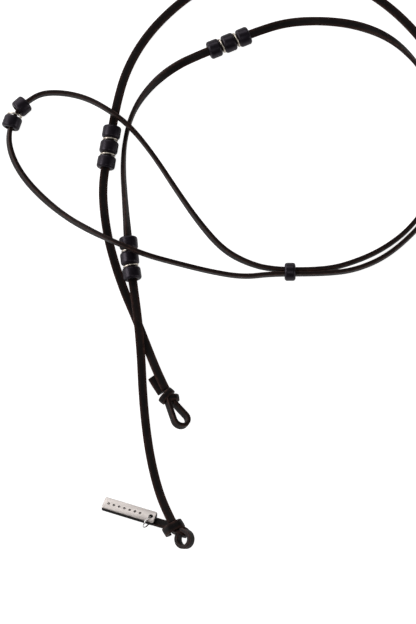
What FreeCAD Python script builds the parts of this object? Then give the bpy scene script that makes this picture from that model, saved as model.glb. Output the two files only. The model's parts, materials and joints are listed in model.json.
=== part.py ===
import FreeCAD, Part
import math
import os

import Sketcher
from FreeCAD import Placement, Rotation, Vector

# Eyeglasses strap: one leather lace with black beads, spacer rings, two temple loops,
# a slider and a hanging tag. It lies on a table: Z is up and Z = 0 is the table top.

os.makedirs("parts", exist_ok=True)
doc = FreeCAD.newDocument("glasses_strap")

# ---------------------------------------------------------------- driving dimensions, in mm
SIZES = {
    "lace_width": 3.0,
    "lace_thick": 1.3,
    "lace_corner": 0.45,
    "bead_outer": 6.4,
    "bead_length": 4.4,
    "bead_bore": 3.5,
    "bead_rim": 0.9,
    "bore_rim": 0.2,
    "bead_gap": 1.1,
    "slider_outer": 6.3,
    "slider_length": 3.8,
    "slider_bore": 3.86,
    "spacer_mean": 4.8,
    "spacer_wire": 0.65,
    "spacer_tilt": 4.5,
    "jump_mean": 4.3,
    "jump_wire": 0.5,
    "jump_turn": 357.0,
    "tag_length": 18.9,
    "tag_width": 4.8,
    "tag_thick": 1.8,
    "tag_corner": 0.6,
    "tag_bevel": 0.25,
    "tag_hole": 1.6,
    "tag_end": 1.7,
    "tag_lift": 0.8,
    "dimple": 0.9,
    "dimple_depth": 0.2,
    "dimple_pitch": 1.9,
    "dimple_start": 3.9,
    "tail_end": 1.5,
    "tail_b_length": 8.3,
    "tail_a_length": 6.6,
    "knot_length": 4.6,
    "knot_width": 5.8,
    "knot_height": 4.8,
    "knot_round": 1.4,
    "loop_a_reach": 9.1,
    "loop_a_middle": 2.6,
    "loop_b_reach": 4.3,
    "loop_b_middle": 2.7,
    "loop_root": 1.6,
    "loop_neck": 0.8,
}
DIMPLES = 7
ARC_SHARE = 0.45
TWIST_STEP = 3.0
FLAT = 0.0
ON_EDGE = 90.0

sheet = doc.addObject("Spreadsheet::Sheet", "sizes")
for row, (alias, value) in enumerate(SIZES.items(), start=1):
    sheet.set("A%d" % row, alias)
    sheet.set("B%d" % row, str(value))
    sheet.setAlias("B%d" % row, alias)
doc.recompute()


def size(alias):
    return float(sheet.get(alias))


# ---------------------------------------------------------------- the lace's route
# Each stretch has its name, how its width is rolled at its two ends, and the points it
# goes through, as X, Y, Z of the lace's middle. A stretch starts and ends halfway between
# its own points and its neighbour's.
STRETCHES = [
    ("lace_temple_run_a", FLAT, FLAT, [
        (-22.4, -49.3, 2.4), (-25.2, -43.4, 2.3), (-28.8, -33.8, 0.9), (-32.9, -23.0, 0.7),
        (-37.4, -12.3, 0.7), (-41.4, 0.5, 0.7), (-43.6, 11.1, 1.3), (-44.6, 23.5, 3.2),
        (-39.7, 53.1, 3.2), (-36.4, 65.7, 1.9)]),
    ("lace_top_arc", FLAT, FLAT, [
        (-29.7, 78.2, 0.8), (-19.6, 89.2, 0.7), (-7.3, 98.1, 0.7), (6.0, 103.5, 0.7),
        (20.6, 105.0, 0.7), (34.5, 101.7, 0.7), (47.4, 94.8, 0.7), (57.8, 86.8, 0.8)]),
    ("lace_neck_twist_a", FLAT, ON_EDGE, [
        (67.1, 76.2, 1.2), (74.6, 63.0, 1.6)]),
    ("lace_neck_run_a", ON_EDGE, ON_EDGE, [
        (78.7, 48.5, 1.6), (78.6, 34.1, 1.6), (73.3, 20.0, 1.6), (64.6, 8.6, 1.6),
        (54.2, -1.1, 1.9), (43.4, -6.3, 2.6), (32.8, -7.9, 3.2)]),
    ("lace_end_loop_low", ON_EDGE, ON_EDGE, [
        (14.0, -7.9, 3.2), (4.4, -9.0, 2.7), (-6.6, -7.3, 3.2), (-18.3, -4.9, 5.4),
        (-29.7, -2.6, 8.6), (-40.7, 2.2, 8.6), (-48.7, 6.7, 6.2), (-57.0, 12.3, 3.4),
        (-65.4, 19.8, 1.6), (-72.0, 27.2, 1.6)]),
    ("lace_end_loop_tip", ON_EDGE, ON_EDGE, [
        (-76.2, 35.0, 1.9), (-77.3, 42.4, 3.2), (-74.5, 50.4, 3.2), (-70.6, 54.0, 3.2),
        (-65.6, 57.1, 3.1)]),
    ("lace_end_loop_high", ON_EDGE, ON_EDGE, [
        (-57.9, 57.7, 3.1), (-49.6, 55.3, 4.3), (-41.9, 50.3, 5.9), (-34.6, 44.0, 5.9),
        (-26.8, 34.1, 5.0), (-19.4, 22.5, 4.4), (-11.4, 10.6, 3.8), (-3.2, 0.9, 3.3),
        (5.1, -3.9, 3.1), (14.0, -6.5, 3.2)]),
    ("lace_neck_run_b", ON_EDGE, ON_EDGE, [
        (32.8, -6.5, 3.2), (43.4, -3.2, 2.4), (52.8, 1.5, 1.7), (61.8, 8.6, 1.6),
        (69.5, 19.7, 1.6), (73.7, 32.3, 1.6), (74.3, 45.3, 1.6), (70.8, 57.9, 1.6)]),
    ("lace_neck_twist_b", ON_EDGE, FLAT, [
        (63.9, 69.5, 1.6), (55.3, 77.7, 1.5), (44.2, 82.9, 1.1)]),
    ("lace_crown_run", FLAT, FLAT, [
        (31.7, 84.7, 0.7), (19.5, 83.2, 1.5), (9.4, 79.5, 3.2), (-10.4, 71.1, 3.2)]),
    ("lace_shoulder_twist", FLAT, -ON_EDGE, [
        (-19.1, 67.3, 2.3), (-27.6, 60.6, 1.6)]),
    ("lace_waist_twist", -ON_EDGE, FLAT, [
        (-34.0, 51.4, 1.6), (-36.9, 40.6, 1.6), (-37.8, 30.4, 1.6), (-37.1, 20.1, 2.4)]),
    ("lace_temple_run_b", FLAT, FLAT, [
        (-36.0, 9.5, 3.2), (-35.1, -2.5, 3.2), (-33.4, -14.3, 3.2), (-32.0, -25.3, 2.5),
        (-31.0, -37.3, 2.1), (-30.5, -48.7, 0.8), (-29.5, -60.7, 0.7), (-27.8, -72.8, 0.7),
        (-25.1, -84.1, 0.8), (-22.2, -91.8, 1.7), (-20.0, -96.3, 2.4)]),
]
route = [Vector(*point) for stretch in STRETCHES for point in stretch[3]]
first_point = {}
for name, _, _, points in STRETCHES:
    first_point[name] = sum(len(s[3]) for s in STRETCHES[:len(first_point)])


def halfway(one, other):
    return (one + other) * 0.5


def corner_arc(index):
    """The start, middle, end and radius of the arc that rounds one point of the route."""
    corner = route[index]
    back = route[index - 1] - corner
    ahead = route[index + 1] - corner
    reach = ARC_SHARE * min(back.Length, ahead.Length)
    back.normalize()
    ahead.normalize()
    half_turn = (math.pi - back.getAngle(ahead)) / 2
    radius = reach / math.tan(half_turn)
    inward = (back + ahead).normalize()
    middle = corner + inward * (radius * (1 / math.cos(half_turn) - 1))
    return corner + back * reach, middle, corner + ahead * reach, radius


def stretch_path(first, count):
    """The wire of straight runs and tangent arcs that one stretch of the lace follows."""
    last = first + count - 1
    here = route[0] if first == 0 else halfway(route[first - 1], route[first])
    finish = route[-1] if last == len(route) - 1 else halfway(route[last], route[last + 1])
    edges = []
    for index in range(max(first, 1), min(last, len(route) - 2) + 1):
        start, middle, end, _ = corner_arc(index)
        edges.append(Part.LineSegment(here, start).toShape())
        edges.append(Part.Arc(start, middle, end).toShape())
        here = end
    edges.append(Part.LineSegment(here, finish).toShape())
    return Part.Wire(edges)


def rounded_rectangle(width, thick, corner):
    """A rounded rectangle about the origin, in the XY plane, with its width along X."""
    across = width / 2 - corner
    upward = thick / 2 - corner
    centres = [(across, upward), (-across, upward), (-across, -upward), (across, -upward)]
    arcs = []
    for quarter, (x, y) in enumerate(centres):
        circle = Part.Circle(Vector(x, y, 0), Vector(0, 0, 1), corner)
        arcs.append(Part.Arc(circle, quarter * math.pi / 2, (quarter + 1) * math.pi / 2))
    edges = []
    for arc, after in zip(arcs, arcs[1:] + arcs[:1]):
        edges.append(arc.toShape())
        edges.append(Part.LineSegment(arc.EndPoint, after.StartPoint).toShape())
    return Part.Wire(edges)


def lace_section(point, tangent, roll):
    """The lace's outline at a point, square to its direction, rolled from flat by an angle."""
    side = Vector(0, 0, 1).cross(tangent).normalize()
    upward = tangent.cross(side)
    outline = rounded_rectangle(size("lace_width"), size("lace_thick"), size("lace_corner"))
    square = Rotation(side, upward, tangent, "ZXY")
    outline.Placement = Placement(point, square.multiply(Rotation(Vector(0, 0, 1), roll)))
    return outline


def swept_stretch(path, roll):
    """A stretch of lace that keeps its roll: its outline swept along the path."""
    start = path.Edges[0]
    tangent = start.tangentAt(start.FirstParameter).normalize()
    shell = Part.BRepOffsetAPI.MakePipeShell(path)
    shell.setBiNormalMode(Vector(0, 0, 1))
    shell.add(lace_section(start.valueAt(start.FirstParameter), tangent, roll))
    shell.build()
    shell.makeSolid()
    return shell.shape()


def twisted_stretch(path, roll_start, roll_end):
    """A stretch of lace that rolls evenly from one end to the other: ruled through outlines."""
    outlines = []
    gone = 0.0
    stations = []
    for edge in path.Edges:
        steps = max(1, round(edge.Length / TWIST_STEP))
        span = edge.LastParameter - edge.FirstParameter
        for step in range(steps):
            at = edge.FirstParameter + span * step / steps
            stations.append((edge, at, gone + edge.Length * step / steps))
        gone += edge.Length
    stations.append((path.Edges[-1], path.Edges[-1].LastParameter, gone))
    for edge, at, distance in stations:
        roll = roll_start + (roll_end - roll_start) * distance / gone
        outlines.append(lace_section(edge.valueAt(at), edge.tangentAt(at).normalize(), roll))
    return Part.makeLoft(outlines, True, True)


def add_shape(label, shape):
    feature = doc.addObject("Part::Feature", label)
    feature.Label = label
    feature.Shape = shape
    feature.Placement = Placement()
    return feature


subparts = []
section_area = Part.Face(
    rounded_rectangle(size("lace_width"), size("lace_thick"), size("lace_corner"))).Area
lace_length = 0.0
for name, roll_start, roll_end, points in STRETCHES:
    path = stretch_path(first_point[name], len(points))
    if roll_start == roll_end:
        solid = swept_stretch(path, roll_start)
    else:
        solid = twisted_stretch(path, roll_start, roll_end)
    lace_length += path.Length
    print("%-20s length %6.1f  volume / (section x length) %.3f"
          % (name, path.Length, solid.Volume / (section_area * path.Length)))
    subparts.append(add_shape(name, solid))
radii = [corner_arc(index)[3] for index in range(1, len(route) - 1)]
print("lace length %.1f, arc radii:" % lace_length, " ".join("%.1f" % r for r in radii))


# ---------------------------------------------------------------- sketches and turned pieces
def bind(feature, path, expression):
    feature.setExpression(path, expression)


def new_body(label):
    body = doc.addObject("PartDesign::Body", label)
    body.Label = label
    return body


def new_sketch(body, label, role="XY_Plane"):
    sketch = body.newObject("Sketcher::SketchObject", label)
    plane = [p for p in body.Origin.OriginFeatures if p.Role == role][0]
    sketch.AttachmentSupport = [(plane, "")]
    sketch.MapMode = "FlatFace"
    return sketch


def evaluate(expression):
    return float(sheet.evalExpression(expression))


def constrain(sketch, name, expression, *arguments):
    """Adds a driving dimension to a sketch and binds it to the sheet."""
    index = sketch.addConstraint(Sketcher.Constraint(*arguments))
    sketch.renameConstraint(index, name)
    sketch.setExpression("Constraints." + name, expression)


def add_rectangle(sketch, left, right, low, high):
    """A squared-up rectangle, dimensioned from the origin by four of the sheet's expressions.
    left is measured towards -X, right towards +X, low and high both towards +Y."""
    x_left, x_right, y_low, y_high = [evaluate(e) for e in (left, right, low, high)]
    corners = [Vector(-x_left, y_low, 0), Vector(x_right, y_low, 0),
               Vector(x_right, y_high, 0), Vector(-x_left, y_high, 0)]
    for start, end in zip(corners, corners[1:] + corners[:1]):
        sketch.addGeometry(Part.LineSegment(start, end), False)
    for side in range(4):
        sketch.addConstraint(Sketcher.Constraint("Coincident", side, 2, (side + 1) % 4, 1))
    for side in (0, 2):
        sketch.addConstraint(Sketcher.Constraint("Horizontal", side))
    for side in (1, 3):
        sketch.addConstraint(Sketcher.Constraint("Vertical", side))
    constrain(sketch, "left", left, "DistanceX", 0, 1, -1, 1, x_left)
    constrain(sketch, "right", right, "DistanceX", -1, 1, 0, 2, x_right)
    constrain(sketch, "low", low, "DistanceY", -1, 1, 0, 1, y_low)
    constrain(sketch, "high", high, "DistanceY", -1, 1, 2, 1, y_high)


def edges_where(feature, test):
    return ["Edge%d" % (i + 1) for i, edge in enumerate(feature.Shape.Edges) if test(edge)]


def circle_of_radius(radius):
    def test(edge):
        return isinstance(edge.Curve, Part.Circle) and abs(edge.Curve.Radius - radius) < 1e-3
    return test


def round_edges(body, base, names, expression):
    fillet = body.newObject("PartDesign::Fillet", "rounding")
    fillet.Base = (base, names)
    bind(fillet, "Radius", expression)
    doc.recompute()
    return fillet


def make_bead(label, kind, placement):
    """A moulded bead: a short tube with rounded rims, turned about its local X axis."""
    outer = size(kind + "_outer")
    bore = size(kind + "_bore")
    half_length = "sizes.%s_length / 2" % kind
    body = new_body(label)
    profile = new_sketch(body, "profile")
    add_rectangle(profile, half_length, half_length,
                  "sizes.%s_bore / 2" % kind, "sizes.%s_outer / 2" % kind)
    turned = body.newObject("PartDesign::Revolution", "turned")
    turned.Profile = (profile, [""])
    turned.ReferenceAxis = (profile, ["H_Axis"])
    turned.Angle = 360
    doc.recompute()
    rims = edges_where(turned, circle_of_radius(outer / 2))
    rounded = round_edges(body, turned, rims, "sizes.bead_rim")
    mouths = edges_where(rounded, circle_of_radius(bore / 2))
    round_edges(body, rounded, mouths, "sizes.bore_rim")
    body.Placement = placement
    return body


def make_ring(label, kind, placement, turn=None):
    """A ring of round wire about its local Z axis."""
    ring = doc.addObject("Part::Torus", label)
    ring.Label = label
    bind(ring, "Radius1", "sizes.%s_mean / 2" % kind)
    bind(ring, "Radius2", "sizes.%s_wire / 2" % kind)
    if turn:
        bind(ring, "Angle3", turn)
    ring.Placement = placement
    return ring


# ---------------------------------------------------------------- beads and spacer rings
def heading(direction):
    return math.degrees(math.atan2(direction.y, direction.x))


def along_x(centre, direction):
    """The placement that lays a piece's local X axis along a level direction."""
    return Placement(centre, Rotation(Vector(0, 0, 1), heading(direction)))


def tilted_ring(centre, direction):
    """The placement of a loose ring on the lace, leaning a little as it hangs."""
    upright = Rotation(Vector(0, 0, 1), heading(direction))
    lean = Rotation(Vector(0, 0, 1), size("spacer_tilt"))
    facing = Rotation(Vector(0, 1, 0), 90)
    return Placement(centre, upright.multiply(lean).multiply(facing))


pitch = size("bead_length") + size("bead_gap")


def run_direction(index):
    """The level direction of the run that leaves one point of the route."""
    step = route[index + 1] - route[index]
    return Vector(step.x, step.y, 0).normalize()


def straight_group(letter, first, share):
    """Three beads and two spacer rings on one straight run, a share of the way along it."""
    centre = route[first] + (route[first + 1] - route[first]) * share
    direction = run_direction(first)
    for number in (1, 2, 3):
        place = along_x(centre + direction * (pitch * (number - 2)), direction)
        subparts.append(make_bead("bead_%s%d" % (letter, number), "bead", place))
    for number in (1, 2):
        middle = centre + direction * (pitch * (number - 1.5))
        subparts.append(make_ring("spacer_%s%d" % (letter, number), "spacer",
                                  tilted_ring(middle, direction)))


def bent_group(letter, corner):
    """Three beads and two spacer rings either side of a gentle bend of the lace."""
    centre = corner_arc(corner)[1]
    before = run_direction(corner - 1)
    after = run_direction(corner)
    middle = (before + after).normalize()
    places = [(centre - before * pitch, before), (centre, middle), (centre + after * pitch, after)]
    for number, (spot, direction) in enumerate(places, start=1):
        place = along_x(spot, direction)
        subparts.append(make_bead("bead_%s%d" % (letter, number), "bead", place))
    for number, (spot, direction) in enumerate([(-before, before), (after, after)], start=1):
        ring_middle = centre + spot * (pitch / 2)
        subparts.append(make_ring("spacer_%s%d" % (letter, number), "spacer",
                                  tilted_ring(ring_middle, direction)))


GROUP_A_RUN = first_point["lace_temple_run_a"] + 7
GROUP_B_CORNER = first_point["lace_temple_run_b"] + 1
GROUP_C_RUN = first_point["lace_crown_run"] + 2
TIP_CORNER = first_point["lace_end_loop_tip"] + 2

straight_group("a", GROUP_A_RUN, 0.47)
bent_group("b", GROUP_B_CORNER)
straight_group("c", GROUP_C_RUN, 0.51)

for number, run in enumerate((TIP_CORNER - 1, TIP_CORNER), start=1):
    place = along_x(halfway(route[run], route[run + 1]), run_direction(run))
    subparts.append(make_bead("bead_tip%d" % number, "bead", place))
lower_bead = halfway(route[TIP_CORNER - 1], route[TIP_CORNER])
lower_direction = run_direction(TIP_CORNER - 1)
ring_reach = (size("bead_length") + size("bead_gap")) / 2
subparts.append(make_ring("spacer_tip", "spacer",
                          tilted_ring(lower_bead + lower_direction * ring_reach, lower_direction)))

# The slider holds both strands side by side; its rest is near the end loop's side of
# the straight stretch.
SLIDER_FROM_END = 6.3
pair_low = route[first_point["lace_end_loop_low"]]
pair_high = route[first_point["lace_neck_run_b"] - 1]
slider_centre = halfway(pair_low, pair_high) + Vector(SLIDER_FROM_END, 0, 0)
subparts.append(make_bead("slider_bead", "slider", along_x(slider_centre, Vector(1, 0, 0))))


# ---------------------------------------------------------------- temple loops and knots
def teardrop(sketch, prefix, reach, radius, offset):
    """One closed teardrop: a big arc at the fold, a small one at the knot, and two tangents.
    The middle of the band is offset outwards or inwards to give its two walls."""
    root = size("loop_root")
    neck = size("loop_neck")
    big = radius + offset
    small = neck + offset
    lean = math.asin((big - small) / (reach - root))
    up = Vector(-math.sin(lean), math.cos(lean), 0)
    down = Vector(up.x, -up.y, 0)
    far = Vector(reach, 0, 0)
    near = Vector(root, 0, 0)
    start_big = math.atan2(down.y, down.x)
    end_big = math.atan2(up.y, up.x)
    circle_big = Part.Circle(far, Vector(0, 0, 1), big)
    circle_small = Part.Circle(near, Vector(0, 0, 1), small)
    first = sketch.addGeometry(Part.Arc(circle_big, start_big, end_big), False)
    sketch.addGeometry(Part.LineSegment(far + up * big, near + up * small), False)
    sketch.addGeometry(Part.Arc(circle_small, end_big, start_big + 2 * math.pi), False)
    sketch.addGeometry(Part.LineSegment(near + down * small, far + down * big), False)
    for step, (here, after) in enumerate([(2, 1), (2, 1), (2, 1), (2, 1)]):
        sketch.addConstraint(Sketcher.Constraint(
            "Tangent", first + step, here, first + (step + 1) % 4, after))
    for arc in (first, first + 2):
        sketch.addConstraint(Sketcher.Constraint("PointOnObject", arc, 3, -1))
    sign = "+" if offset > 0 else "-"
    constrain(sketch, prefix + "_far", "sizes.%s_reach" % sketch.Label,
              "DistanceX", -1, 1, first, 3, reach)
    constrain(sketch, prefix + "_near", "sizes.loop_root",
              "DistanceX", -1, 1, first + 2, 3, root)
    constrain(sketch, prefix + "_big", "sizes.%s_middle %s sizes.lace_thick / 2"
              % (sketch.Label, sign), "Radius", first, big)
    constrain(sketch, prefix + "_small", "sizes.loop_neck %s sizes.lace_thick / 2" % sign,
              "Radius", first + 2, small)


def make_loop(label, letter, placement):
    """A temple loop: the lace's band bent into a teardrop, standing on its edge."""
    body = new_body(label)
    outline = new_sketch(body, "loop_" + letter)
    reach = size("loop_%s_reach" % letter)
    radius = size("loop_%s_middle" % letter)
    wall = size("lace_thick") / 2
    teardrop(outline, "outer", reach, radius, wall)
    teardrop(outline, "inner", reach, radius, -wall)
    band = body.newObject("PartDesign::Pad", "band")
    band.Profile = (outline, [""])
    band.SideType = "Symmetric"
    bind(band, "Length", "sizes.lace_width")
    body.Placement = placement
    return body


def make_knot(label, placement):
    """The knot's bulk: a block with well rounded edges."""
    body = new_body(label)
    plan = new_sketch(body, "plan")
    add_rectangle(plan, "sizes.knot_length / 2", "sizes.knot_length / 2",
                  "-sizes.knot_width / 2", "sizes.knot_width / 2")
    block = body.newObject("PartDesign::Pad", "block")
    block.Profile = (plan, [""])
    block.SideType = "Symmetric"
    bind(block, "Length", "sizes.knot_height")
    doc.recompute()
    round_edges(body, block, edges_where(block, lambda edge: True), "sizes.knot_round")
    body.Placement = placement
    return body


LOOP_A_HEADING = -59.4
LOOP_B_HEADING = -73.8
LOOP_A_ROLL = -25.5
LOOP_B_ROLL = 37.5
LOOP_A_ASIDE = -0.7
LOOP_B_ASIDE = 1.8


def knot_centre(end, before):
    """The middle of the knot that the lace's end run goes into."""
    inward = Vector(end.x - before.x, end.y - before.y, 0).normalize()
    centre = end + inward * (size("knot_length") / 2)
    return Vector(centre.x, centre.y, size("knot_height") / 2), inward


def loop_placement(centre, turn, roll, middle, aside):
    """A loop lies rolled about its long axis, with its lowest edge on the table. It leaves
    the knot to one side of the knot's middle."""
    outer = middle + size("lace_thick") / 2
    slope = math.radians(abs(roll))
    lift = size("lace_width") / 2 * math.cos(slope) + outer * math.sin(slope)
    flat_turn = Rotation(Vector(0, 0, 1), turn)
    start = centre + flat_turn.multVec(Vector(0, aside, 0))
    rotation = flat_turn.multiply(Rotation(Vector(1, 0, 0), roll))
    return Placement(Vector(start.x, start.y, lift), rotation)


knot_a, knot_a_inward = knot_centre(route[0], route[1])
knot_b, knot_b_inward = knot_centre(route[-1], route[-2])
subparts.append(make_knot("knot_a", along_x(knot_a, knot_a_inward)))
subparts.append(make_knot("knot_b", along_x(knot_b, knot_b_inward)))
subparts.append(make_loop("temple_loop_a", "a", loop_placement(
    knot_a, LOOP_A_HEADING, LOOP_A_ROLL, size("loop_a_middle"), LOOP_A_ASIDE)))
subparts.append(make_loop("temple_loop_b", "b", loop_placement(
    knot_b, LOOP_B_HEADING, LOOP_B_ROLL, size("loop_b_middle"), LOOP_B_ASIDE)))

for item in subparts[-2:]:
    letter = item.Label[-1]
    fold = item.Placement.multVec(Vector(size("loop_%s_reach" % letter), 0, 0))
    print(item.Label, "fold at", fold, "axis", item.Placement.Rotation.multVec(Vector(0, 0, 1)))

# ---------------------------------------------------------------- the two cut tails
TAIL_A_START = Vector(-27.4, -44.1, 0.75)
TAIL_A_HEADING = -59.5

tail_a = doc.addObject("Part::Box", "lace_tail_a")
tail_a.Label = "lace_tail_a"
bind(tail_a, "Length", "sizes.tail_a_length")
bind(tail_a, "Width", "sizes.lace_width")
bind(tail_a, "Height", "sizes.lace_thick")
tail_turn = Rotation(Vector(0, 0, 1), TAIL_A_HEADING)
half_section = Vector(0, size("lace_width") / 2, size("lace_thick") / 2)
tail_a.Placement = Placement(TAIL_A_START - tail_turn.multVec(half_section), tail_turn)
subparts.append(tail_a)

# The tail of the other knot, the tag on it and the jump ring through both share one
# tilted frame: its origin is the middle of the tail's hole, X runs back to the knot, and
# Z is square to the tag's face.
TAIL_HOLE = Vector(-27.6, -95.0, 1.65)
TAG_HEADING = -18.6
TAG_PITCH = -5.5
TAG_ROLL = -18.0
tag_turn = Rotation(Vector(0, 0, 1), TAG_HEADING).multiply(
    Rotation(Vector(0, 1, 0), TAG_PITCH)).multiply(Rotation(Vector(1, 0, 0), TAG_ROLL))
tag_frame = Placement(TAIL_HOLE, tag_turn)


def make_strip(label, left, right, width, thick):
    """A flat strip with a hole at its own origin. left and right are the sheet's words for
    how far the strip reaches each way along X."""
    body = new_body(label)
    plan = new_sketch(body, "plan")
    add_rectangle(plan, left, right, "-sizes.%s / 2" % width, "sizes.%s / 2" % width)
    strip = body.newObject("PartDesign::Pad", "strip")
    strip.Profile = (plan, [""])
    bind(strip, "Length", "sizes." + thick)
    doc.recompute()
    circle = new_sketch(body, "hole_outline")
    circle.addGeometry(Part.Circle(Vector(), Vector(0, 0, 1), size("tag_hole") / 2), False)
    circle.addConstraint(Sketcher.Constraint("Coincident", 0, 3, -1, 1))
    constrain(circle, "radius", "sizes.tag_hole / 2", "Radius", 0, size("tag_hole") / 2)
    hole = body.newObject("PartDesign::Pocket", "hole")
    hole.Profile = (circle, [""])
    hole.Type = "ThroughAll"
    hole.Reversed = True
    doc.recompute()
    if hole.Shape.Volume >= strip.Shape.Volume:
        raise ValueError(label + ": the hole cuts nothing")
    return body, hole


tail_b, _ = make_strip("lace_tail_b", "sizes.tail_end", "sizes.tail_b_length - sizes.tail_end",
                       "lace_width", "lace_thick")
tail_b.Placement = tag_frame.multiply(Placement(Vector(0, 0, -size("lace_thick") / 2), Rotation()))
subparts.append(tail_b)

tag, tag_hole = make_strip("name_tag", "sizes.tag_length - sizes.tag_end", "sizes.tag_end",
                           "tag_width", "tag_thick")
upright = edges_where(tag_hole, lambda edge: edge.BoundBox.ZLength > 0.9 * size("tag_thick")
                      and isinstance(edge.Curve, Part.Line)
                      and abs(edge.BoundBox.Center.y) > size("tag_width") / 3)
tag_rounded = round_edges(tag, tag_hole, upright, "sizes.tag_corner")
top_height = size("tag_thick")
top_rim = edges_where(tag_rounded, lambda edge: edge.BoundBox.ZMin > top_height - 1e-3
                      and not circle_of_radius(size("tag_hole") / 2)(edge))
bevel = tag.newObject("PartDesign::Chamfer", "bevel")
bevel.Base = (tag_rounded, top_rim)
bind(bevel, "Size", "sizes.tag_bevel")
doc.recompute()

# A row of plain round dimples along the tag's face.
dimple_plan = new_sketch(tag, "dimple_plan")
bind(dimple_plan, ".AttachmentOffset.Base.z", "sizes.tag_thick")
dimple_plan.addGeometry(
    Part.Circle(Vector(-size("dimple_start"), 0, 0), Vector(0, 0, 1), size("dimple") / 2), False)
dimple_plan.addConstraint(Sketcher.Constraint("PointOnObject", 0, 3, -1))
constrain(dimple_plan, "start", "sizes.dimple_start",
          "DistanceX", 0, 3, -1, 1, size("dimple_start"))
constrain(dimple_plan, "radius", "sizes.dimple / 2", "Radius", 0, size("dimple") / 2)
dimple = tag.newObject("PartDesign::Pocket", "dimple")
dimple.Profile = (dimple_plan, [""])
bind(dimple, "Length", "sizes.dimple_depth")
doc.recompute()
if dimple.Shape.Volume >= bevel.Shape.Volume:
    raise ValueError("the dimple cuts nothing")
dimple_row = tag.newObject("PartDesign::LinearPattern", "dimple_row")
dimple_row.Originals = [dimple]
dimple_row.Direction = (dimple_plan, ["H_Axis"])
dimple_row.Reversed = True
dimple_row.Occurrences = DIMPLES
bind(dimple_row, "Length", "sizes.dimple_pitch * %d" % (DIMPLES - 1))
tag.Tip = dimple_row
doc.recompute()
tag.Placement = tag_frame.multiply(Placement(Vector(0, 0, size("tag_lift")), Rotation()))
subparts.append(tag)

# The jump ring stands across the tag, leaning to its left: through both holes and round
# their front edges.
JUMP_LEAN = -21.0
stack_low = -size("lace_thick") / 2
stack_high = size("tag_lift") + size("tag_thick")
stack_middle = (stack_low + stack_high) / 2
ring_radius = size("jump_mean") / 2
bow = ring_radius - math.sqrt(ring_radius ** 2 - ((stack_high - stack_low) / 2) ** 2)
ring_centre = Vector(0, bow / 2 - ring_radius, stack_middle)
across_tag = Rotation(Vector(0, 1, 0), 90).multiply(Rotation(Vector(0, 0, 1), -60))
leaning = Placement(Vector(), Rotation(Vector(0, 0, 1), JUMP_LEAN))
jump_place = tag_frame.multiply(leaning).multiply(Placement(ring_centre, across_tag))
subparts.append(make_ring("jump_ring", "jump", jump_place, "sizes.jump_turn"))

# ---------------------------------------------------------------- checks and export
doc.recompute()
for item in doc.Objects:
    if "Invalid" in item.State or "Error" in item.State:
        raise ValueError("%s did not build: %s" % (item.Label, item.State))
for item in subparts:
    if item.Shape.isNull() or not item.Shape.isValid() or not item.Shape.Solids:
        raise ValueError("%s has no valid solid" % item.Label)

whole = FreeCAD.BoundBox()
for item in subparts:
    item.Shape.exportStep("parts/%s.step" % item.Label)
    box = item.Shape.optimalBoundingBox(False)
    whole.add(box)
    print("%-20s %8.2f mm3  x %6.1f %6.1f  y %6.1f %6.1f  z %5.2f %5.2f" % (
        item.Label, item.Shape.Volume, box.XMin, box.XMax, box.YMin, box.YMax, box.ZMin, box.ZMax))
print("whole: x %.2f %.2f  y %.2f %.2f  z %.2f %.2f" % (
    whole.XMin, whole.XMax, whole.YMin, whole.YMax, whole.ZMin, whole.ZMax))
print("slider at", slider_centre)
print("tag hinge at", TAIL_HOLE, "axis", tag_turn.multVec(Vector(0, 0, 1)))
print("jump ring at", jump_place.Base, "axis", jump_place.Rotation.multVec(Vector(0, 0, 1)))
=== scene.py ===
import json
import math

import bmesh
import bpy
from mathutils import Matrix, Vector


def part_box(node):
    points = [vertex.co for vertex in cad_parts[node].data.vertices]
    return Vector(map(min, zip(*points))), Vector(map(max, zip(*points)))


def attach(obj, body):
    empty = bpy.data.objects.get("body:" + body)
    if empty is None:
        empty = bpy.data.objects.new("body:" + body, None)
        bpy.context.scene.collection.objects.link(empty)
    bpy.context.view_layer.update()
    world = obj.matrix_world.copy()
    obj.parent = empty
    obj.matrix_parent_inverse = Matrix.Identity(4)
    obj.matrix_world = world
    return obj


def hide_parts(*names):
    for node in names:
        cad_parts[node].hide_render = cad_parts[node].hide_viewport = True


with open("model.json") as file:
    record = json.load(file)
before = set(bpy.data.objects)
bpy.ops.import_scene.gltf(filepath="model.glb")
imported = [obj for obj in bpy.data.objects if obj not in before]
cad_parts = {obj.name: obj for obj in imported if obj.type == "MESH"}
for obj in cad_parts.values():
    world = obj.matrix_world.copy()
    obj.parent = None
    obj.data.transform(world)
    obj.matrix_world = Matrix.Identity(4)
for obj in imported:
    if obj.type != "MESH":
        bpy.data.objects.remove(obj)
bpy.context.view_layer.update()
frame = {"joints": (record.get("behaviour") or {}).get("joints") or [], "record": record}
MM = 0.001
UP = Vector((0, 0, 1))

# ------------------------------------------------------------------ camera
# A long lens, looking down steeply from the front, as over a table.
IMAGE_HEIGHT = 624
FOCAL_IMAGE_HEIGHTS = 8700 / IMAGE_HEIGHT
CAMERA_DISTANCE = 3.0
CAMERA_ELEVATION = math.radians(75)
CAMERA_TARGET = Vector((-0.0080, -0.0207, 0.0))


def set_up_camera():
    data = bpy.data.cameras.new("camera")
    data.sensor_width = 36
    data.lens = data.sensor_width * FOCAL_IMAGE_HEIGHTS
    data.clip_end = 20
    camera = bpy.data.objects.new("camera", data)
    away = Vector((0, -math.cos(CAMERA_ELEVATION), math.sin(CAMERA_ELEVATION)))
    camera.location = CAMERA_TARGET + away * CAMERA_DISTANCE
    camera.rotation_euler = (math.pi / 2 - CAMERA_ELEVATION, 0, 0)
    bpy.context.collection.objects.link(camera)
    bpy.context.scene.camera = camera


set_up_camera()

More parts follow.
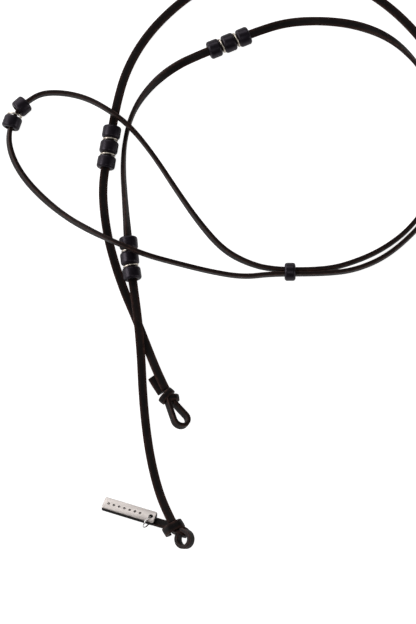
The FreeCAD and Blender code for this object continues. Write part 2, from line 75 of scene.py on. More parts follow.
# ------------------------------------------------------------------ the lace's route
# The lace's middle line, in metres, from one temple knot to the other.
ROUTE = [
    (-0.0224, -0.0493, 0.0024), (-0.0252, -0.0434, 0.0023), (-0.0288, -0.0338, 0.0009),
    (-0.0329, -0.0230, 0.0007), (-0.0374, -0.0123, 0.0007), (-0.0414, 0.0005, 0.0007),
    (-0.0436, 0.0111, 0.0013), (-0.0446, 0.0235, 0.0032), (-0.0397, 0.0531, 0.0032),
    (-0.0364, 0.0657, 0.0019), (-0.0297, 0.0782, 0.0008), (-0.0196, 0.0892, 0.0007),
    (-0.0073, 0.0981, 0.0007), (0.0060, 0.1035, 0.0007), (0.0206, 0.1050, 0.0007),
    (0.0345, 0.1017, 0.0007), (0.0474, 0.0948, 0.0007), (0.0578, 0.0868, 0.0008),
    (0.0671, 0.0762, 0.0012), (0.0746, 0.0630, 0.0016), (0.0787, 0.0485, 0.0016),
    (0.0786, 0.0341, 0.0016), (0.0733, 0.0200, 0.0016), (0.0646, 0.0086, 0.0016),
    (0.0542, -0.0011, 0.0019), (0.0434, -0.0063, 0.0026), (0.0328, -0.0079, 0.0032),
    (0.0140, -0.0079, 0.0032), (0.0044, -0.0090, 0.0027), (-0.0066, -0.0073, 0.0032),
    (-0.0183, -0.0049, 0.0054), (-0.0297, -0.0026, 0.0086), (-0.0407, 0.0022, 0.0086),
    (-0.0487, 0.0067, 0.0062), (-0.0570, 0.0123, 0.0034), (-0.0654, 0.0198, 0.0016),
    (-0.0720, 0.0272, 0.0016), (-0.0762, 0.0350, 0.0019), (-0.0773, 0.0424, 0.0032),
    (-0.0745, 0.0504, 0.0032), (-0.0706, 0.0540, 0.0032), (-0.0656, 0.0571, 0.0031),
    (-0.0579, 0.0572, 0.0031), (-0.04985, 0.05485, 0.0043), (-0.0421, 0.05, 0.0059),
    (-0.0346, 0.0440, 0.0059), (-0.0268, 0.0341, 0.0050), (-0.0194, 0.0225, 0.0044),
    (-0.0114, 0.0106, 0.0038), (-0.0032, 0.0009, 0.0033), (0.0051, -0.0039, 0.0031),
    (0.0140, -0.0065, 0.0032), (0.0328, -0.0065, 0.0032), (0.0434, -0.0032, 0.0024),
    (0.0528, 0.0015, 0.0017), (0.0618, 0.0086, 0.0016), (0.0695, 0.0197, 0.0016),
    (0.0737, 0.0323, 0.0016), (0.0743, 0.0453, 0.0016), (0.0708, 0.0579, 0.0016),
    (0.0639, 0.0695, 0.0016), (0.0553, 0.0777, 0.0015), (0.0442, 0.0824, 0.0011),
    (0.0318, 0.0841, 0.0007), (0.0195, 0.0832, 0.0015), (0.0094, 0.0795, 0.0032),
    (-0.0104, 0.0711, 0.0032), (-0.0191, 0.0673, 0.0023), (-0.0276, 0.0606, 0.0016),
    (-0.0340, 0.0514, 0.0016), (-0.0369, 0.0406, 0.0016), (-0.03745, 0.0304, 0.0016),
    (-0.0368, 0.0201, 0.0024), (-0.0360, 0.0095, 0.0032), (-0.0351, -0.0025, 0.0032),
    (-0.0334, -0.0143, 0.0032), (-0.0320, -0.0253, 0.0025), (-0.0310, -0.0373, 0.0021),
    (-0.0305, -0.0487, 0.0008), (-0.0295, -0.0607, 0.0007), (-0.0278, -0.0728, 0.0007),
    (-0.0251, -0.0841, 0.0008), (-0.0222, -0.0918, 0.0017), (-0.0200, -0.0963, 0.0024),
]
# Where the lace is pulled straight through a group of beads, more points keep it straight.
# They follow the route's point with that number.
STRAIGHT_POINTS = {
    7: [(-0.04254, 0.03593, 0.0032), (-0.04186, 0.04007, 0.0032)],
    65: [(-0.00128, 0.07497, 0.0032)],
}

LACE_WIDTH = 0.0030
LACE_THICK = 0.0013

# How the lace's width is rolled from flat, in degrees, at points along its route.
ROLL_KEYS = [
    (0, 0), (17.5, 0), (18.5, 42), (19.5, 90), (32.0, 90), (33.0, 99), (34.2, 99), (35.0, 105),
    (37.0, 109), (38.2, 107), (39.2, 97), (40.0, 88), (46.0, 87), (47.0, 83), (48.5, 76),
    (49.5, 79), (50.5, 86), (51.5, 90), (59.0, 90), (59.6, 76), (60.5, 50), (61.2, 28),
    (62.0, 0), (63.5, -22), (66.3, -22), (67.2, -38), (68.0, -62), (68.5, -74), (69.0, -84),
    (70.0, -86), (71.0, -76), (72.0, -70), (72.8, -58), (74.0, -20), (75.0, 0), (83, 0),
]


def spline_points(name, controls, resolution=10):
    """Points along a smooth open spline whose control points are given."""
    data = bpy.data.curves.new(name, "CURVE")
    data.dimensions = "3D"
    data.resolution_u = resolution
    spline = data.splines.new("NURBS")
    spline.points.add(len(controls) - 1)
    for point, place in zip(spline.points, controls):
        point.co = (*place, 1.0)
    spline.order_u = 3
    spline.use_endpoint_u = True
    holder = bpy.data.objects.new(name, data)
    bpy.context.collection.objects.link(holder)
    line = bpy.data.meshes.new_from_object(holder)
    points = [vertex.co.copy() for vertex in line.vertices]
    bpy.data.objects.remove(holder)
    bpy.data.meshes.remove(line)
    bpy.data.curves.remove(data)
    return points


def route_controls():
    controls = []
    for index, place in enumerate(ROUTE):
        controls.append(Vector(place))
        controls += [Vector(extra) for extra in STRAIGHT_POINTS.get(index, [])]
    return controls


def distances_along(points):
    gone = [0.0]
    for one, other in zip(points, points[1:]):
        gone.append(gone[-1] + (other - one).length)
    return gone


def interpolate(keys, value):
    """The value between (place, value) keys, straight from each key to the next."""
    if value <= keys[0][0]:
        return keys[0][1]
    for (low, first), (high, second) in zip(keys, keys[1:]):
        if value <= high:
            share = (value - low) / (high - low)
            return first + (second - first) * share
    return keys[-1][1]


def tangents(points):
    ends = [points[0]] + points + [points[-1]]
    return [(after - before).normalized() for before, after in zip(ends, ends[2:])]


# ------------------------------------------------------------------ bands of lace
CORNER = 0.00022
SIDE_TINT = 0.15
CROWN = 0.00005
EDGE_START = 0.45  # how far across a face, of its half width, the brown edge colour (partly painted edge light) begins
UV_LENGTH = 0.01  # metres of lace to one unit of its UV map
SEARCH_AHEAD = 60  # points looked at for the next place along the route


def band_outline(width, thick):
    """The lace's outline as (across, up, edge) places: edge is 1 at the four corners, little on the
    cut sides and 0 along the middle of the faces. It sets a brown that is partly worn, undyed
    leather and partly painted edge light."""
    half = width / 2 - CORNER
    rise = thick / 2 - CORNER
    outline = []
    for side, lift, start in ((1, 1, 0), (-1, 1, 90), (-1, -1, 180), (1, -1, 270)):
        for step in range(5):
            angle = math.radians(start + 22.5 * step)
            outline.append((side * half + CORNER * math.cos(angle),
                            lift * rise + CORNER * math.sin(angle), 1.0))
        if start in (0, 180):
            for step in range(1, 8):
                x = side * half * (1 - step / 4)
                crown = CROWN * (1 - (x / half) ** 2)
                edge = max(0.0, abs(x) / half - EDGE_START) / (1 - EDGE_START)
                outline.append((x, lift * (thick / 2 + crown), edge))
        else:
            for step in (-1, 0, 1):
                outline.append((side * width / 2, -lift * rise * 0.6 * step, SIDE_TINT))
    return outline


def make_band(name, points, across, width=LACE_WIDTH, thick=LACE_THICK, skew=(0.0, 0.0)):
    """A leather band along points, its width lying along the across vectors. skew cuts its two
    ends off at a slant."""
    outline = band_outline(width, thick)
    mesh = bpy.data.meshes.new(name)
    build = bmesh.new()
    around = build.loops.layers.uv.new("along")
    # Per-point edge weight for the leather's brown edges: partly worn leather, partly painted edge
    # light.
    edge_brown_layer = build.verts.layers.float.new("edge_brown_painted_light_and_worn")
    rings = []
    for index, (point, ahead, side) in enumerate(zip(points, tangents(points), across)):
        side = (side - ahead * side.dot(ahead)).normalized()
        upward = ahead.cross(side)
        slant = 0.0
        if index == 0:
            slant = skew[0]
        elif index == len(points) - 1:
            slant = skew[1]
        ring = []
        for x, y, edge in outline:
            vertex = build.verts.new(point + side * x + upward * y + ahead * (slant * x))
            vertex[edge_brown_layer] = edge
            ring.append(vertex)
        rings.append(ring)
    gone = distances_along(points)
    count = len(outline)
    for index, (ring, after) in enumerate(zip(rings, rings[1:])):
        for corner in range(count):
            following = (corner + 1) % count
            face = build.faces.new((ring[corner], ring[following], after[following], after[corner]))
            face.smooth = True
            sides = (corner, corner + 1, corner + 1, corner)
            steps = (index, index, index + 1, index + 1)
            for loop, turn, step in zip(face.loops, sides, steps):
                loop[around].uv = (gone[step] / UV_LENGTH, turn / count)
    build.faces.new(list(reversed(rings[0])))
    build.faces.new(rings[-1])
    bmesh.ops.recalc_face_normals(build, faces=build.faces)
    build.to_mesh(mesh)
    build.free()
    band = bpy.data.objects.new(name, mesh)
    bpy.context.collection.objects.link(band)
    return band


def route_rolls(points):
    """The roll at each point of the lace: its place along the route is read from the nearest
    of the route's own points."""
    gone = distances_along(points)
    stations = []
    near = 0
    for index, place in enumerate(ROUTE):
        place = Vector(place)
        window = range(near, min(near + SEARCH_AHEAD, len(points)))
        near = min(window, key=lambda step: (points[step] - place).length)
        stations.append((gone[near], float(index)))
    return [interpolate(ROLL_KEYS, interpolate(stations, distance)) for distance in gone]


lace_points = spline_points("lace_route", route_controls())


def make_lace():
    across = []
    for ahead, roll in zip(tangents(lace_points), route_rolls(lace_points)):
        level = UP.cross(ahead).normalized()
        upward = ahead.cross(level)
        turn = math.radians(roll)
        across.append(level * math.cos(turn) + upward * math.sin(turn))
    return make_band("leather_lace", lace_points, across)


lace = make_lace()
LACE_NODES = [part["node"] for part in frame["record"]["subparts"]
              if part["node"].startswith("lace_") and "tail" not in part["node"]]
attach(lace, "lace_and_knots")
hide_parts(*LACE_NODES)

# ------------------------------------------------------------------ modelling helpers
ROUND_SIDES = 96
WIRE_SIDES = 20
BORE_RIM = 0.00022


def centre_of(node):
    low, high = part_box(node)
    return (Vector(low) + Vector(high)) / 2


def select_only(obj):
    bpy.ops.object.select_all(action="DESELECT")
    obj.select_set(True)
    bpy.context.view_layer.objects.active = obj


def start_edit(obj):
    select_only(obj)
    bpy.ops.object.mode_set(mode="EDIT")


def choose(obj, kind, test):
    """Selects an edited mesh's faces or edges that pass a test, and nothing else."""
    bpy.ops.mesh.select_mode(type=kind)
    bpy.ops.mesh.select_all(action="DESELECT")
    mesh = bmesh.from_edit_mesh(obj.data)
    for item in mesh.faces if kind == "FACE" else mesh.edges:
        if test(item):
            item.select_set(True)
    mesh.select_flush_mode()
    bmesh.update_edit_mesh(obj.data)


def finish_edit(obj, angle=35):
    bpy.ops.object.mode_set(mode="OBJECT")
    smooth_by_angle(obj, angle)


def smooth_by_angle(obj, angle):
    select_only(obj)
    bpy.ops.object.shade_smooth_by_angle(angle=math.radians(angle))


def placed_copy(model, name, placement):
    """A copy of a modelled piece with a mesh of its own, put in place."""
    mesh = model.data.copy()
    mesh.transform(placement)
    piece = bpy.data.objects.new(name, mesh)
    bpy.context.collection.objects.link(piece)
    return piece


def model_bead(outer, length, bore, rim):
    """A moulded bead about the X axis: a barrel with round rims and a clean bore."""
    bpy.ops.object.select_all(action="DESELECT")
    bpy.ops.mesh.primitive_cylinder_add(vertices=ROUND_SIDES, radius=outer / 2, depth=length,
                                        end_fill_type="NGON", rotation=(0, math.pi / 2, 0))
    bead = bpy.context.object
    bpy.ops.object.transform_apply(location=True, rotation=True, scale=True)
    start_edit(bead)
    choose(bead, "FACE", lambda face: abs(face.calc_center_median().x) > 0.49 * length)
    bpy.ops.mesh.inset(thickness=(outer - bore) / 2, depth=0)
    bpy.ops.mesh.bridge_edge_loops()

    def ring_edge(radius):
        def test(edge):
            reach = [math.hypot(v.co.y, v.co.z) for v in edge.verts]
            level = abs(edge.verts[0].co.x - edge.verts[1].co.x) < 0.1 * length
            return level and all(abs(r - radius) < 0.02 * radius for r in reach)
        return test

    choose(bead, "EDGE", ring_edge(outer / 2))
    bpy.ops.mesh.bevel(offset=rim, segments=8, profile=0.5, affect="EDGES")
    choose(bead, "EDGE", ring_edge(bore / 2))
    bpy.ops.mesh.bevel(offset=BORE_RIM, segments=4, profile=0.5, affect="EDGES")
    bpy.ops.mesh.select_all(action="SELECT")
    bpy.ops.mesh.normals_make_consistent(inside=False)
    finish_edit(bead, 60)
    return bead


def model_ring(mean, wire, angle=math.tau):
    """A ring of round wire about the Z axis, open if it turns less than all the way."""
    bpy.ops.object.select_all(action="DESELECT")
    bpy.ops.mesh.primitive_circle_add(vertices=WIRE_SIDES, radius=wire / 2,
                                      location=(mean / 2, 0, 0), rotation=(math.pi / 2, 0, 0))
    ring = bpy.context.object
    bpy.ops.object.transform_apply(location=True, rotation=True, scale=True)
    start_edit(ring)
    bpy.ops.mesh.select_all(action="SELECT")
    bpy.ops.mesh.spin(steps=ROUND_SIDES, angle=angle, center=(0, 0, 0), axis=(0, 0, 1))
    bpy.ops.mesh.select_all(action="SELECT")
    bpy.ops.mesh.remove_doubles(threshold=1e-7)
    if angle < math.tau:
        choose(ring, "EDGE", lambda edge: edge.is_boundary)
        bpy.ops.mesh.fill_holes(sides=0)
    bpy.ops.mesh.select_all(action="SELECT")
    bpy.ops.mesh.normals_make_consistent(inside=False)
    finish_edit(ring)
    return ring


# ------------------------------------------------------------------ beads and spacer rings
BEAD = dict(outer=0.0064, length=0.0044, bore=0.0035, rim=0.0009)
SLIDER = dict(outer=0.0063, length=0.0038, bore=0.00386, rim=0.0009)
SPACER_MEAN = 0.0048
SPACER_WIRE = 0.00065
SPACER_LEAN = math.radians(4.5)


def run_heading(index):
    step = Vector(ROUTE[index + 1]) - Vector(ROUTE[index])
    return math.atan2(step.y, step.x)


def turned(centre, heading):
    return Matrix.Translation(centre) @ Matrix.Rotation(heading, 4, "Z")


# For each bead and ring: the run of the route that it lies along. The middle bead of group b
# sits on a bend, between two runs.
HEADINGS = {
    "a": [run_heading(7)] * 3,
    "b": [run_heading(73), (run_heading(73) + run_heading(74)) / 2, run_heading(74)],
    "c": [run_heading(65)] * 3,
    "tip": [run_heading(38), run_heading(39)],
}


def put_beads():
    bead_model = model_bead(**BEAD)
    ring_model = model_ring(SPACER_MEAN, SPACER_WIRE)
    across = Matrix.Rotation(SPACER_LEAN, 4, "Z") @ Matrix.Rotation(math.pi / 2, 4, "Y")
    beads = []
    rings = []
    for group, headings in HEADINGS.items():
        for number, heading in enumerate(headings, start=1):
            node = "bead_%s%d" % (group, number)
            bead = placed_copy(bead_model, "black_" + node, turned(centre_of(node), heading))
            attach(bead, node)
            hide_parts(node)
            beads.append(bead)
        if group == "tip":
            spacers = [("spacer_tip", "lace_and_knots", headings[0])]
        else:
            spacers = [("spacer_%s%d" % (group, number), "group_" + group, headings[2 * number - 2])
                       for number in (1, 2)]
        for node, body, heading in spacers:
            place = turned(centre_of(node), heading) @ across
            ring = placed_copy(ring_model, "brass_" + node, place)
            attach(ring, body)
            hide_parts(node)
            rings.append(ring)
    bpy.data.objects.remove(bead_model)
    bpy.data.objects.remove(ring_model)
    return beads, rings


def put_slider():
    model = model_bead(**SLIDER)
    slider = placed_copy(model, "black_slider", turned(centre_of("slider_bead"), 0.0))
    bpy.data.objects.remove(model)
    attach(slider, "slider")
    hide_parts("slider_bead")
    return slider


beads, spacers = put_beads()
slider = put_slider()

# ------------------------------------------------------------------ loops, knots and tails
# Each knot's middle lies a little past the lace's last point.
KNOT_REACH = 0.0023


def knot_frame(end, before, height):
    end = Vector(ROUTE[end])
    inward = end - Vector(ROUTE[before])
    inward.z = 0
    centre = end + inward.normalized() * KNOT_REACH
    return Vector((centre.x, centre.y, height))


KNOT_A = knot_frame(0, 1, 0.0024)
KNOT_B = knot_frame(-1, -2, 0.0025)
LOOP_A = dict(heading=math.radians(-59.4), roll=math.radians(-25.5), aside=-0.0007,
              reach=0.0091, fold=0.0026)
LOOP_B = dict(heading=math.radians(-73.8), roll=math.radians(37.5), aside=0.0018,
              reach=0.0043, fold=0.0027)
LOOP_ROOT = 0.0016
LOOP_NECK = 0.0008


def teardrop(reach, fold, steps=28):
    """The loop's middle line, seen flat: a big arc at the fold and two straight legs that
    close in on a small arc at the knot."""
    lean = math.asin((fold - LOOP_NECK) / (reach - LOOP_ROOT))
    turn = math.pi / 2 + lean
    line = []
    for step in range(9):
        angle = math.pi - (math.pi - turn) * step / 8
        line.append((LOOP_ROOT + LOOP_NECK * math.cos(angle), LOOP_NECK * math.sin(angle)))
    start = line[-1]
    end = (reach + fold * math.cos(turn), fold * math.sin(turn))
    for step in range(1, 12):
        share = step / 12
        line.append((start[0] + (end[0] - start[0]) * share,
                     start[1] + (end[1] - start[1]) * share))
    for step in range(steps + 1):
        angle = turn * (1 - step / steps)
        line.append((reach + fold * math.cos(angle), fold * math.sin(angle)))
    return line + [(x, -y) for x, y in reversed(line[:-1])]


def make_temple_loop(name, centre, heading, roll, aside, reach, fold):
    """The band's short loop beyond the knot: out along one side, round the fold, and back. It
    lies rolled on its lowest edge."""
    slope = abs(roll)
    lift = LACE_WIDTH / 2 * math.cos(slope) + (fold + LACE_THICK / 2) * math.sin(slope)
    place = (Matrix.Translation((centre.x, centre.y, lift)) @ Matrix.Rotation(heading, 4, "Z")
             @ Matrix.Translation((0, aside, 0)) @ Matrix.Rotation(roll, 4, "X"))
    points = [place @ Vector((x, y, 0)) for x, y in teardrop(reach, fold)]
    across = [place.to_3x3() @ UP] * len(points)
    return make_band(name, points, across)


def make_wrap(name, centre, heading, reach, height, width=LACE_WIDTH):
    """One pass of the band over a knot: an arch that starts and ends at the table, along its
    heading, with its width level across it."""
    place = Matrix.Translation((centre.x, centre.y, 0)) @ Matrix.Rotation(heading, 4, "Z")
    half = LACE_THICK / 2
    top = height - half
    arch = [(-0.55, half + 0.05 * MM), (-1.02, half + 0.1 * MM), (-1.08, 0.62 * top),
            (-0.72, top), (0.0, top), (0.72, top), (1.08, 0.62 * top),
            (1.02, half + 0.1 * MM), (0.55, half + 0.05 * MM)]
    controls = [place @ Vector((x * reach, 0, z)) for x, z in arch]
    points = spline_points(name, controls, 8)
    across = [place.to_3x3() @ Vector((0, 1, 0))] * len(points)
    return make_band(name, points, across, width=width)


def make_knots():
    loops = [
        make_temple_loop("temple_loop_band_a", KNOT_A, **LOOP_A),
        make_temple_loop("temple_loop_band_b", KNOT_B, **LOOP_B),
    ]
    wraps = [
        make_wrap("knot_wrap_a1", KNOT_A + Vector((-0.8, 0.3, 0)) * MM, math.radians(49),
                  0.0023, 0.0046, width=0.0023),
        make_wrap("knot_wrap_a2", KNOT_A + Vector((0.8, -0.6, 0)) * MM, math.radians(8),
                  0.0020, 0.0042, width=0.0022),
        make_wrap("knot_wrap_b1", KNOT_B + Vector((-0.8, 0.6, 0)) * MM, math.radians(30),
                  0.0030, 0.0050),
        make_wrap("knot_wrap_b2", KNOT_B + Vector((1.5, -0.5, 0)) * MM, math.radians(-20),
                  0.0020, 0.0044),
    ]
    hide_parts("temple_loop_a")
    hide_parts("temple_loop_b")
    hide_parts("knot_a")
    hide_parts("knot_b")
    return loops, wraps


def make_tail_a():
    """The short cut end that lies beside the strand, flat on the table."""
    points = [Vector(p) * MM for p in ((-27.3, -44.1, 0.75), (-26.6, -45.4, 0.75),
                                       (-25.3, -47.6, 0.8), (-23.9, -49.8, 1.1))]
    points = spline_points("tail", points, 8)
    across = [UP.cross(ahead) for ahead in tangents(points)]
    tail = make_band("lace_cut_end_a", points, across, skew=(-0.12, 0.0))
    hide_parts("lace_tail_a")
    return tail


# The tag, the cut end that it hangs on and their holes share one tilted frame. Its origin is
# the middle of the cut end's hole; X runs back to the knot, and Z is square to the tag's face.


def joint(name):
    return next(j for j in frame["joints"] if j["name"] == name)


TAG_HEADING = math.radians(-18.6)
TAG_PITCH = math.radians(-5.5)
TAG_ROLL = math.radians(-18)
TAG_FRAME = (Matrix.Translation(joint("tag_swing")["pos_m"])
             @ Matrix.Rotation(TAG_HEADING, 4, "Z") @ Matrix.Rotation(TAG_PITCH, 4, "Y")
             @ Matrix.Rotation(TAG_ROLL, 4, "X"))
TAG_LENGTH = 0.0189
TAG_WIDTH = 0.0048
TAG_THICK = 0.0018
TAG_END = 0.0017
TAG_LIFT = 0.0008
TAG_CORNER = 0.0006
TAG_FACE_BEVEL = 0.00026
TAG_BACK_BEVEL = 0.00012
HOLE_RADIUS = 0.0008
DIMPLE_RADIUS = 0.00045
DIMPLE_DEPTH = 0.0002
DIMPLE_START = 0.0039
DIMPLE_PITCH = 0.0019
DIMPLES = 7


def cut_away(piece, cutter):
    """Takes one piece's shape out of another, and removes the cutter."""
    modifier = piece.modifiers.new("cut", "BOOLEAN")
    modifier.operation = "DIFFERENCE"
    modifier.solver = "EXACT"
    modifier.object = cutter
    select_only(piece)
    bpy.ops.object.modifier_apply(modifier=modifier.name)
    bpy.data.objects.remove(cutter)


def hole_cutter():
    bpy.ops.object.select_all(action="DESELECT")
    bpy.ops.mesh.primitive_cylinder_add(vertices=48, radius=HOLE_RADIUS, depth=0.02)
    return bpy.context.object


def make_tail_b():
    """The cut end that carries the tag: a flat strip with a punched hole."""
    controls = [Vector(p) * MM for p in ((-1.45, 0, 0), (1.5, 0, 0), (4.5, 0, 0.0), (7.2, 0, 0.2))]
    points = spline_points("tail_b", controls, 8)
    tail = make_band("lace_cut_end_b", points, [Vector((0, 1, 0))] * len(points))
    cut_away(tail, hole_cutter())
    tail.data.transform(TAG_FRAME)
    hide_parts("lace_tail_b")
    return tail


loops, wraps = make_knots()
tail_a = make_tail_a()
tail_b = make_tail_b()
for piece in loops + wraps + [tail_a, tail_b]:
    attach(piece, "lace_and_knots")

# ------------------------------------------------------------------ tag and jump ring


def make_tag():
    """A flat bar with round corners, a bevelled face, a hole, and a row of plain dimples."""
    bpy.ops.object.select_all(action="DESELECT")
    middle = (TAG_END - TAG_LENGTH / 2, 0, TAG_LIFT + TAG_THICK / 2)
    bpy.ops.mesh.primitive_cube_add(size=1, location=middle)
    tag = bpy.context.object
    tag.name = "metal_tag"
    tag.scale = (TAG_LENGTH, TAG_WIDTH, TAG_THICK)
    bpy.ops.object.transform_apply(location=True, rotation=True, scale=True)
    start_edit(tag)
    choose(tag, "EDGE", lambda edge: abs(edge.verts[0].co.z - edge.verts[1].co.z) > TAG_THICK / 2)
    bpy.ops.mesh.bevel(offset=TAG_CORNER, segments=6, profile=0.5, affect="EDGES")
    for level, width in ((TAG_LIFT + TAG_THICK, TAG_FACE_BEVEL), (TAG_LIFT, TAG_BACK_BEVEL)):
        choose(tag, "EDGE", lambda edge: all(abs(v.co.z - level) < 1e-6 for v in edge.verts))
        bpy.ops.mesh.bevel(offset=width, segments=3, profile=0.5, affect="EDGES")
    finish_edit(tag, 30)
    ball = (DIMPLE_RADIUS ** 2 + DIMPLE_DEPTH ** 2) / (2 * DIMPLE_DEPTH)
    top = TAG_LIFT + TAG_THICK
    for number in range(DIMPLES):
        bpy.ops.object.select_all(action="DESELECT")
        place = (-DIMPLE_START - DIMPLE_PITCH * number, 0, top - DIMPLE_DEPTH + ball)
        bpy.ops.mesh.primitive_uv_sphere_add(segments=32, ring_count=24, radius=ball,
                                             location=place)
        cut_away(tag, bpy.context.object)
    cut_away(tag, hole_cutter())
    smooth_by_angle(tag, 30)
    tag.data.transform(TAG_FRAME)
    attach(tag, "tag")
    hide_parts("name_tag")
    return tag


def mark_dark_faces(tag):
    """The tag's sides and the floors of its dimples get material 1, painted dark: on the sides a
    painted reflection of dark surroundings, in the dimples painted shade.
    """
    inverse = TAG_FRAME.inverted()
    to_local = inverse.to_3x3()
    top = TAG_LIFT + TAG_THICK
    for face in tag.data.polygons:
        normal = to_local @ face.normal
        place = inverse @ face.center
        in_dimple = place.z < top - 0.02 * MM and abs(place.y) < 1.2 * DIMPLE_RADIUS
        face.material_index = int(normal.z < 0.35 or (normal.z < 0.97 and in_dimple))


JUMP_MEAN = 0.0043
JUMP_WIRE = 0.0005
JUMP_TURN = math.radians(357)


def put_jump_ring():
    hinge = joint("jump_ring_spin")
    axis = Vector(hinge["axis"])
    place = Matrix.Translation(hinge["pos_m"]) @ UP.rotation_difference(axis).to_matrix().to_4x4()
    model = model_ring(JUMP_MEAN, JUMP_WIRE, JUMP_TURN)
    ring = placed_copy(model, "silver_jump_ring", place @ Matrix.Rotation(math.pi, 4, "Z"))
    bpy.data.objects.remove(model)
    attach(ring, "ring")
    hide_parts("jump_ring")
    return ring


tag = make_tag()
jump_ring = put_jump_ring()

# ------------------------------------------------------------------ materials


def new_material(name):
    material = bpy.data.materials.new(name)
    material.use_nodes = True
    tree = material.node_tree
    return material, tree, tree.nodes["Principled BSDF"]


def noise(tree, vector, scale, detail=4.0, roughness=0.55):
    node = tree.nodes.new("ShaderNodeTexNoise")
    node.inputs["Scale"].default_value = scale
    node.inputs["Detail"].default_value = detail
    node.inputs["Roughness"].default_value = roughness
    tree.links.new(vector, node.inputs["Vector"])
    return node.outputs["Fac"]


def ramp(tree, value, stops):
    node = tree.nodes.new("ShaderNodeValToRGB")
    elements = node.color_ramp.elements
    while len(elements) < len(stops):
        elements.new(1.0)
    for element, (place, colour) in zip(elements, stops):
        element.position = place
        element.color = (*colour, 1.0)
    tree.links.new(value, node.inputs["Fac"])
    return node.outputs["Color"]


def remap(tree, value, low, high, to_low, to_high):
    node = tree.nodes.new("ShaderNodeMapRange")
    for key, number in (("From Min", low), ("From Max", high), ("To Min", to_low),
                        ("To Max", to_high)):
        node.inputs[key].default_value = number
    tree.links.new(value, node.inputs["Value"])
    return node.outputs["Result"]


def mix(tree, factor, one, other):
    node = tree.nodes.new("ShaderNodeMix")
    node.data_type = "RGBA"
    node.blend_type = "MIX"
    for key, item in (("Factor", factor), ("A", one), ("B", other)):
        socket = next(s for s in node.inputs if s.name == key and s.enabled)
        if isinstance(item, bpy.types.NodeSocket):
            tree.links.new(item, socket)
        elif key == "Factor":
            socket.default_value = item
        else:
            socket.default_value = (*item, 1.0)
    return next(s for s in node.outputs if s.enabled)


def bump(tree, shader, height, strength, distance):
    node = tree.nodes.new("ShaderNodeBump")
    node.inputs["Strength"].default_value = strength
    node.inputs["Distance"].default_value = distance
    tree.links.new(height, node.inputs["Height"])
    tree.links.new(node.outputs["Normal"], shader.inputs["Normal"])


def object_place(tree):
    return tree.nodes.new("ShaderNodeTexCoord").outputs["Object"]


def leather_material():
    """Dyed leather: nearly black faces, brown cut sides and corners that are partly undyed leather
    and partly painted edge light, fine grain, pale dust flecks.
    """
    material, tree, shader = new_material("dark_leather")
    place = object_place(tree)
    edge = tree.nodes.new("ShaderNodeAttribute")
    edge.attribute_name = "edge_brown_painted_light_and_worn"
    dye = ramp(tree, noise(tree, place, 260), [
        (0.30, (0.0035, 0.0022, 0.0022)), (0.52, (0.0062, 0.0036, 0.0034)),
        (0.72, (0.014, 0.0075, 0.0065))])
    # Brown for the edges: partly undyed leather, partly painted edge light.
    edge_brown_undyed_and_lit = ramp(tree, noise(tree, place, 900), [
        (0.30, (0.022, 0.009, 0.007)), (0.55, (0.052, 0.021, 0.015)),
        (0.75, (0.110, 0.050, 0.036))])
    spread = noise(tree, place, 700, 3.0)
    wander = tree.nodes.new("ShaderNodeMath")
    wander.operation = "MULTIPLY"
    tree.links.new(edge.outputs["Fac"], wander.inputs[0])
    tree.links.new(remap(tree, spread, 0.3, 0.7, 0.45, 1.2), wander.inputs[1])
    colour = mix(tree, wander.outputs["Value"], dye, edge_brown_undyed_and_lit)
    flecks = remap(tree, noise(tree, place, 2600, 2.0), 0.68, 0.74, 0.0, 0.55)
    colour = mix(tree, flecks, colour, (0.10, 0.085, 0.08))
    tree.links.new(colour, shader.inputs["Base Color"])
    grain = noise(tree, place, 3200, 6.0, 0.7)
    tree.links.new(remap(tree, grain, 0.3, 0.7, 0.38, 0.62), shader.inputs["Roughness"])
    shader.inputs["Specular IOR Level"].default_value = 0.24
    bump(tree, shader, grain, 0.35, 0.00008)
    return material


def bead_material():
    """Matt black moulded plastic with a faint mottle."""
    material, tree, shader = new_material("matt_black_bead")
    place = object_place(tree)
    colour = ramp(tree, noise(tree, place, 500), [
        (0.3, (0.0045, 0.0032, 0.0050)), (0.7, (0.0095, 0.0070, 0.0110))])
    tree.links.new(colour, shader.inputs["Base Color"])
    fine = noise(tree, place, 2400, 5.0, 0.65)
    tree.links.new(remap(tree, fine, 0.3, 0.7, 0.30, 0.46), shader.inputs["Roughness"])
    shader.inputs["Specular IOR Level"].default_value = 0.42
    shader.inputs["Specular Tint"].default_value = (0.95, 0.84, 1.0, 1.0)
    bump(tree, shader, fine, 0.12, 0.00004)
    return material


def metal_material(name, low, high, roughness, scale, rough_spread=0.12, dent=0.1):
    """A metal finish whose colour and polish vary finely over it."""
    material, tree, shader = new_material(name)
    place = object_place(tree)
    fine = noise(tree, place, scale, 5.0, 0.7)
    tree.links.new(ramp(tree, fine, [(0.3, low), (0.7, high)]), shader.inputs["Base Color"])
    shader.inputs["Metallic"].default_value = 1.0
    tree.links.new(remap(tree, fine, 0.3, 0.7, roughness, roughness + rough_spread),
                   shader.inputs["Roughness"])
    bump(tree, shader, fine, dent, 0.00003)
    return material


leather = leather_material()
bead_black = bead_material()
brass = metal_material("pale_brass", (0.78, 0.69, 0.58), (0.90, 0.83, 0.72), 0.30, 500, 0.08,
                       0.02)
silver = metal_material("silver_wire", (0.70, 0.69, 0.68), (0.92, 0.91, 0.90), 0.15, 900)
tag_face = metal_material("champagne_tag_face", (0.80, 0.73, 0.69), (0.98, 0.91, 0.87), 0.34, 1800,
                          0.14, 0.15)
# Near-black metal for the tag's sides and dimples: a painted dark reflection on the sides, painted
# shade in the dimples.
tag_side = metal_material("tag_painted_dark_reflection_and_shade", (0.004, 0.003, 0.003), (0.016, 0.013, 0.012), 0.4,
                          900)


def paint(obj, material):
    obj.data.materials.clear()
    obj.data.materials.append(material)


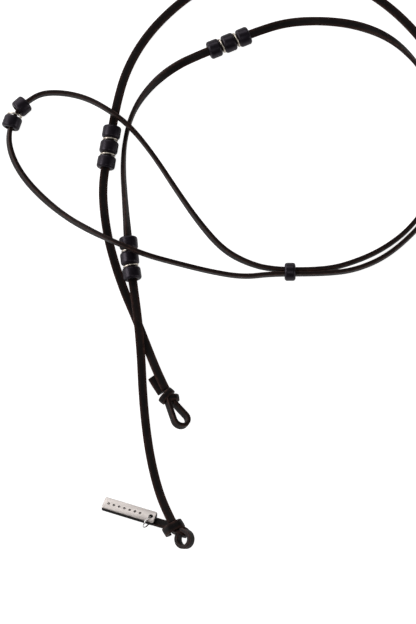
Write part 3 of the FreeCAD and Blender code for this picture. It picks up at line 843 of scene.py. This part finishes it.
for piece in [lace, tail_a, tail_b] + loops + wraps:
    paint(piece, leather)
for piece in beads + [slider]:
    paint(piece, bead_black)
for piece in spacers:
    paint(piece, brass)
paint(jump_ring, silver)
paint(tag, tag_face)
# Material 1 holds the painted dark reflection and painted shade.
tag.data.materials.append(tag_side)
mark_dark_faces(tag)

# ------------------------------------------------------------------ table and light
TABLE_SIZE = 60
TABLE_GLOW = 0.9
TABLE_DIM = 0.32
ROOM_LIGHT = 0.04
WHITE = (1, 1, 1)
WARM_PINK = (1.0, 0.94, 0.98)
# Each soft light: its name, place, two sizes, power in watts and colour.
SOFTBOXES = [
    ("back_softbox", (-0.4, 1.8, 1.35), 1.8, 1.0, 9, WHITE),
    ("left_softbox", (-1.8, 0.3, 0.9), 1.0, 1.2, 16, WHITE),
    ("right_softbox", (1.9, -0.5, 0.8), 0.8, 0.8, 6, WHITE),
    ("over_camera", (0.05, -1.0, 2.6), 0.7, 0.7, 5, WHITE),
    ("low_back_left", (-1.5, 1.6, 0.5), 1.2, 0.7, 8, WARM_PINK),
    ("low_front_left", (-1.9, -0.9, 0.7), 1.0, 0.8, 5, WARM_PINK),
]


def make_table():
    """A plain pale table, evenly white where it is looked at and dimmer where it is mirrored."""
    bpy.ops.object.select_all(action="DESELECT")
    bpy.ops.mesh.primitive_plane_add(size=TABLE_SIZE, location=(0, 0, 0))
    table = bpy.context.object
    table.name = "table"
    material, tree, shader = new_material("white_table")
    shader.inputs["Base Color"].default_value = (0.9, 0.9, 0.9, 1)
    shader.inputs["Roughness"].default_value = 1.0
    shader.inputs["Emission Color"].default_value = (1, 1, 1, 1)
    light_path = tree.nodes.new("ShaderNodeLightPath")
    glow = remap(tree, light_path.outputs["Is Camera Ray"], 0, 1, TABLE_DIM, TABLE_GLOW)
    tree.links.new(glow, shader.inputs["Emission Strength"])
    paint(table, material)


def add_softbox(name, place, size_x, size_y, power, colour):
    data = bpy.data.lights.new(name, "AREA")
    data.shape = "RECTANGLE"
    data.size = size_x
    data.size_y = size_y
    data.energy = power
    data.color = colour
    light = bpy.data.objects.new(name, data)
    light.location = place
    aim = (Vector((0, 0, 0)) - light.location).to_track_quat("-Z", "Y")
    light.rotation_euler = aim.to_euler()
    bpy.context.collection.objects.link(light)


def light_scene():
    world = bpy.data.worlds.new("studio")
    world.use_nodes = True
    background = world.node_tree.nodes["Background"]
    background.inputs["Color"].default_value = (1, 1, 1, 1)
    background.inputs["Strength"].default_value = ROOM_LIGHT
    bpy.context.scene.world = world
    for softbox in SOFTBOXES:
        add_softbox(*softbox)
    bpy.context.scene.view_settings.view_transform = "Standard"


make_table()
light_scene()
